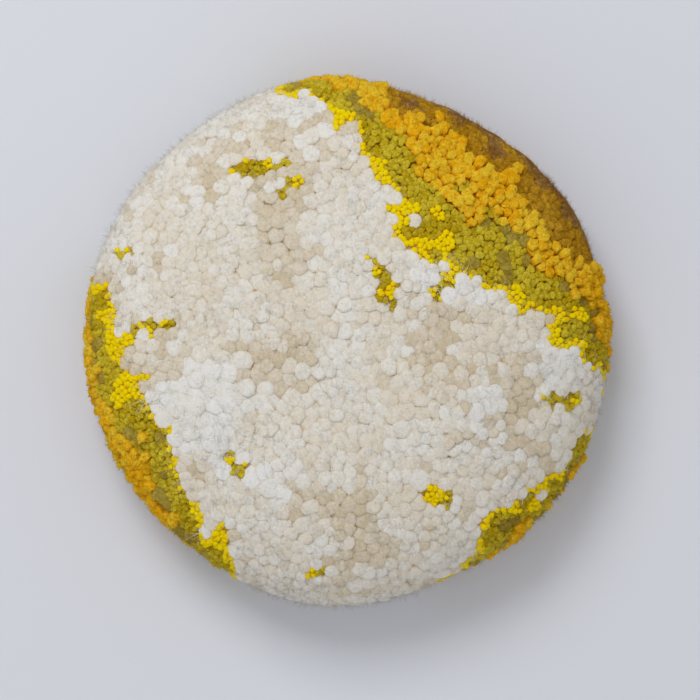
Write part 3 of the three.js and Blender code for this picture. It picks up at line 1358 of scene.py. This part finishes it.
@dataclass(frozen=True)
class PileGround:
    """The close mass of fibres under the tuft ends, coloured from a point colour: the darker root colour of
    the yarn above it, which is painted shade, and the cloth's own colour in the hollow.
    """

    name: str = "wool_pile_ground"
    roughness: float = 1.0
    grain: float = 0.8 * MM
    grain_depth: float = 0.5 * MM

    def build(self) -> bpy.types.Material:
        """Makes the material."""
        material = bare_material(self.name)
        tree = material.node_tree
        place = add_node(tree, "ShaderNodeTexCoord")
        fibres = add_node(
            tree,
            "ShaderNodeTexNoise",
            inputs={"Vector": place.outputs["Object"], "Scale": grain_frequency(self.grain), "Detail": 3.0},
        )
        # The point colour holds painted shade, as the yarns' darker root colours, and the cloth's own
        # colour.
        colouring = add_node(tree, "ShaderNodeVertexColor", {"layer_name": "colouring"})
        bump = add_node(
            tree,
            "ShaderNodeBump",
            inputs={"Strength": 0.8, "Distance": self.grain_depth, "Height": fibres.outputs["Fac"]},
        )
        shader = add_node(
            tree,
            "ShaderNodeBsdfPrincipled",
            inputs={
                "Base Color": colouring.outputs["Color"],
                "Roughness": self.roughness,
                "Specular IOR Level": 0.1,
                "Normal": bump.outputs["Normal"],
            },
        )
        add_node(tree, "ShaderNodeOutputMaterial", inputs={"Surface": shader.outputs["BSDF"]})
        return material


# The yarns whose tufts leave no gaps, so that the ground can come up close under them
CLOSE_YARNS = (Yarn.CREAM, Yarn.BEIGE, Yarn.FLEECE, Yarn.LEMON)


@dataclass
class GroundPiece:
    """The body of the pile under the tuft ends, hollowed behind for the board.

    It lies a little under the dome's mean surface, deeper where the yarns stand apart, and
    comes up to the surface at the lip.
    """

    dome: DomeForm
    plan: ColourPlan
    board_radius: float
    board_thickness: float
    name: str = "pile_ground"
    close_depth: float = -0.1 * MM
    deep_depth: float = 1.0 * MM
    lip_power: int = 8
    clearance: float = 0.35 * MM
    cloth: str = "#cfc4ac"
    rings: int = 56
    segments: int = 180

    def build(self) -> bpy.types.Object:
        """Makes the piece, which stands for the pile's solid."""
        angles = TURN * np.arange(self.segments) / self.segments
        layers = []
        for ring in range(1, self.rings + 1):
            shares = np.full(self.segments, ring / self.rings)
            points, normal, _, _ = self.dome.frames(shares, angles)
            yarns = self.plan.yarns(points, shares, angles)
            close = np.isin(yarns, np.array(CLOSE_YARNS, object))
            depth = np.where(close, self.close_depth, self.deep_depth)
            depth = (np.roll(depth, 1) + 2 * depth + np.roll(depth, -1)) / 4
            faded = depth[:, None] * (1 - shares[:, None] ** self.lip_power)
            layers.append(points - normal * faded)
        room = self.board_radius + self.clearance
        for height in (self.dome.lip_height, self.board_thickness + self.clearance):
            level = np.full_like(angles, -height)
            layers.append(np.stack([room * np.cos(angles), level, room * np.sin(angles)], axis=1))
        crown = self.dome.frames(np.zeros(1), np.zeros(1))[0] + np.array([[0, self.close_depth, 0]])
        floor = np.array([[0, -(self.board_thickness + self.clearance), 0]])
        points = np.concatenate([crown, *layers, floor])
        quads, triangles = [], []
        last = len(points) - 1
        for side in range(self.segments):
            after = (side + 1) % self.segments
            triangles.append((0, 1 + side, 1 + after))
            for layer in range(len(layers) - 1):
                a, b = 1 + layer * self.segments + side, 1 + layer * self.segments + after
                quads.append((a, a + self.segments, b + self.segments, b))
            start = 1 + (len(layers) - 1) * self.segments
            triangles.append((start + side, last, start + after))
        parts = MeshParts()
        flat = np.zeros(len(points))
        parts.add(points[None], np.array(quads), np.array(triangles), flat, np.zeros(1))
        piece = parts.build(self.name, PileGround().build())
        self.colouring(piece, points)
        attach(piece, BODY)
        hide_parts("pile_dome")
        LOG.info("%s: %d triangles", self.name, triangle_count(piece))
        return piece

    def colouring(self, piece: bpy.types.Object, points: np.ndarray) -> None:
        """Colours each point with the darker root colour of the yarn above it, as painted shade, and the
        hollow as cloth.
        """
        shares, angles = self.dome.place_of(points)
        yarns = self.plan.yarns(points, shares, angles)
        layer = piece.data.color_attributes.new("colouring", "FLOAT_COLOR", "POINT")
        # Painted shade: the ground takes each yarn's darker root colour, for the shade under the tuft ends.
        colours = np.array([linear(WOOLS[yarn].root) for yarn in yarns], np.float32)
        colours[1 + self.rings * self.segments :] = linear(self.cloth)
        layer.data.foreach_set("color", colours.ravel())


@dataclass(frozen=True)
class BirchPlywood:
    """Sanded birch plywood: pale, with long soft grain on its faces and layers on its edge."""

    name: str = "sanded_birch_plywood"
    pale: str = "#d9bd8e"
    dark: str = "#b99563"
    grain: float = 3 * MM
    grain_depth: float = 0.2 * MM
    stretch: tuple[float, float, float] = (1.0, 6.0, 0.06)

    def build(self) -> bpy.types.Material:
        """Makes the material."""
        material = bare_material(self.name)
        tree = material.node_tree
        place = add_node(tree, "ShaderNodeTexCoord")
        stretched = add_node(
            tree,
            "ShaderNodeMapping",
            inputs={"Vector": place.outputs["Object"], "Scale": self.stretch},
        )
        grain = add_node(
            tree,
            "ShaderNodeTexNoise",
            inputs={
                "Vector": stretched.outputs["Vector"],
                "Scale": grain_frequency(self.grain),
                "Detail": 5.0,
                "Roughness": 0.62,
                "Distortion": 0.6,
            },
        )
        colour = add_node(
            tree,
            "ShaderNodeMix",
            {"data_type": "RGBA"},
            {0: grain.outputs["Fac"], 6: linear(self.dark), 7: linear(self.pale)},
        )
        bump = add_node(
            tree,
            "ShaderNodeBump",
            inputs={"Strength": 0.25, "Distance": self.grain_depth, "Height": grain.outputs["Fac"]},
        )
        shader = add_node(
            tree,
            "ShaderNodeBsdfPrincipled",
            inputs={
                "Base Color": colour.outputs[2],
                "Roughness": 0.62,
                "IOR": 1.5,
                "Normal": bump.outputs["Normal"],
            },
        )
        add_node(tree, "ShaderNodeOutputMaterial", inputs={"Surface": shader.outputs["BSDF"]})
        return material


@dataclass
class Studio:
    """The camera, the soft light, and a plain pale wall and floor."""

    field_width: float = 238 * MM
    camera_distance: float = 1.0
    aim_x: float = 1.0 * MM
    aim_z: float = -2.9 * MM
    sensor: float = 36.0
    wall_reach: float = 1.2
    wall_gap: float = 0.6 * MM
    wall_hole: float = 78 * MM
    wall_segments: int = 96
    wall_colour: str = "#dddfe6"
    floor_drop: float = 0.32
    floor_reach: float = 2.5
    floor_colour: str = "#e8e8e8"
    key_place: tuple[float, float, float] = (-0.42, -1.3, 0.95)
    key_size: float = 0.7
    key_power: float = 12.0
    world_colour: str = "#f8f9fc"
    world_strength: float = 0.5

    def add_camera(self, widest_height: float) -> None:
        """Sets the camera square-on, with the photo's field at the dome's widest ring."""
        data = bpy.data.cameras.new("camera")
        data.sensor_width = self.sensor
        data.lens = self.sensor * self.camera_distance / self.field_width
        camera = bpy.data.objects.new("camera", data)
        camera.location = (self.aim_x, -(self.camera_distance + widest_height), self.aim_z)
        camera.rotation_euler = (math.pi / 2, 0, 0)
        bpy.context.scene.collection.objects.link(camera)
        bpy.context.scene.camera = camera

    def paint(self, name: str, code: str, seen_from_behind: bool) -> bpy.types.Material:
        """Plain pale wall paint.

        Args:
            name: the material's name.
            code: its sRGB colour.
            seen_from_behind: whether its back is solid too, and not clear.

        Returns:
            The material.
        """
        material = bare_material(name)
        tree = material.node_tree
        shader = add_node(
            tree, "ShaderNodeBsdfPrincipled", inputs={"Base Color": linear(code), "Roughness": 0.9}
        )
        surface = shader.outputs["BSDF"]
        if not seen_from_behind:
            side = add_node(tree, "ShaderNodeNewGeometry")
            clear = add_node(tree, "ShaderNodeBsdfTransparent")
            mix = add_node(
                tree,
                "ShaderNodeMixShader",
                inputs={0: side.outputs["Backfacing"], 1: surface, 2: clear.outputs["BSDF"]},
            )
            surface = mix.outputs["Shader"]
        add_node(tree, "ShaderNodeOutputMaterial", inputs={"Surface": surface})
        return material

    def add_wall(self) -> None:
        """A wall close behind the piece, open where the board hides it, and clear from behind."""
        angles = TURN * np.arange(self.wall_segments) / self.wall_segments
        ring = np.stack([np.cos(angles), np.zeros_like(angles), np.sin(angles)], axis=1)
        points = np.concatenate([ring * self.wall_hole, ring * self.wall_reach])
        points += np.array([0, self.wall_gap, 0])
        faces = []
        for inner in range(self.wall_segments):
            after = (inner + 1) % self.wall_segments
            faces.append((inner, inner + self.wall_segments, after + self.wall_segments, after))
        mesh = bpy.data.meshes.new("wall")
        mesh.from_pydata(points.tolist(), [], faces)
        mesh.materials.append(self.paint("wall_paint", self.wall_colour, seen_from_behind=False))
        wall = bpy.data.objects.new("wall", mesh)
        bpy.context.scene.collection.objects.link(wall)

    def add_floor(self) -> None:
        """A plain pale floor, out of the main view."""
        reach = self.floor_reach
        corners = [(-reach, -reach), (reach, -reach), (reach, reach), (-reach, reach)]
        mesh = bpy.data.meshes.new("floor")
        mesh.from_pydata([(x, y, -self.floor_drop) for x, y in corners], [], [(0, 1, 2, 3)])
        mesh.materials.append(self.paint("floor_paint", self.floor_colour, seen_from_behind=True))
        floor = bpy.data.objects.new("floor", mesh)
        bpy.context.scene.collection.objects.link(floor)

    def add_key_light(self) -> None:
        """A soft square light from above on the left that faces the piece."""
        data = bpy.data.lights.new("key", "AREA")
        data.size = self.key_size
        data.energy = self.key_power
        light = bpy.data.objects.new("key", data)
        light.location = self.key_place
        light.rotation_euler = (-Vector(self.key_place)).to_track_quat("-Z", "Y").to_euler()
        bpy.context.scene.collection.objects.link(light)

    def add_world(self) -> None:
        """An even pale surrounding light."""
        world = bpy.data.worlds.new("studio")
        world.use_nodes = True
        background = world.node_tree.nodes["Background"]
        background.inputs["Color"].default_value = linear(self.world_colour)
        background.inputs["Strength"].default_value = self.world_strength
        bpy.context.scene.world = world

    def build(self, widest_height: float) -> None:
        """Sets everything up, with colours shown as they are."""
        self.add_camera(widest_height)
        self.add_wall()
        self.add_floor()
        self.add_key_light()
        self.add_world()
        bpy.context.scene.view_settings.view_transform = "Standard"


# How many stretches a yarn's tufts are split into round the dome, where it isn't one
SECTORS = {Yarn.CREAM: 3, Yarn.BEIGE: 2, Yarn.FLEECE: 2}
# The yarns that each group of strands lies on, by the wool that dresses the group
STRAND_COLOURS = {
    Yarn.CREAM: (Yarn.CREAM, Yarn.BEIGE, Yarn.FLEECE),
    Yarn.KHAKI: (Yarn.CHARTREUSE, Yarn.KHAKI, Yarn.LEMON),
    Yarn.OCHRE: (Yarn.OCHRE, Yarn.GOLD),
    Yarn.BROWN: (Yarn.BROWN,),
}


def dress_pile(dome: DomeForm, plan: ColourPlan) -> None:
    """Lays all the tufts, as one piece for each yarn and stretch, and the strands at the rim."""
    planting = TuftLayout(dome, plan).planted()
    materials = {yarn: WOOLS[yarn].build() for yarn in Yarn}
    seed = FIRST_SEED
    for yarn in Yarn:
        sectors = SECTORS.get(yarn, 1)
        sector = np.floor((planting.angles + math.pi) / TURN * sectors).clip(0, sectors - 1)
        for number in range(sectors):
            chosen = planting.picked((planting.yarns == yarn) & (sector == number))
            Pile(f"{yarn.value}_pile_{number + 1}", yarn, dome, chosen, seed).build(materials[yarn])
            seed += 1
    for dress, yarns in STRAND_COLOURS.items():
        RimStrands(dome, plan, f"{dress.value}_rim_strands", yarns, dress, seed).build(materials[dress])


def dress_board() -> None:
    """Gives the plain board its wood."""
    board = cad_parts["backing_board"]
    board.data.materials.clear()
    board.data.materials.append(BirchPlywood().build())
    LOG.info("backing_board: birch plywood")


def main() -> None:
    """Builds the studio and the pieces in order."""
    logging.basicConfig(level=logging.INFO, format="%(name)s %(message)s")
    dome = DomeForm()
    plan = ColourPlan(dome)
    Studio().build(dome.widest_height)
    low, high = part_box("backing_board")
    GroundPiece(dome, plan, (high.x - low.x) / 2, high.y - low.y).build()
    dress_pile(dome, plan)
    dress_board()


if __name__ == "__main__":
    main()
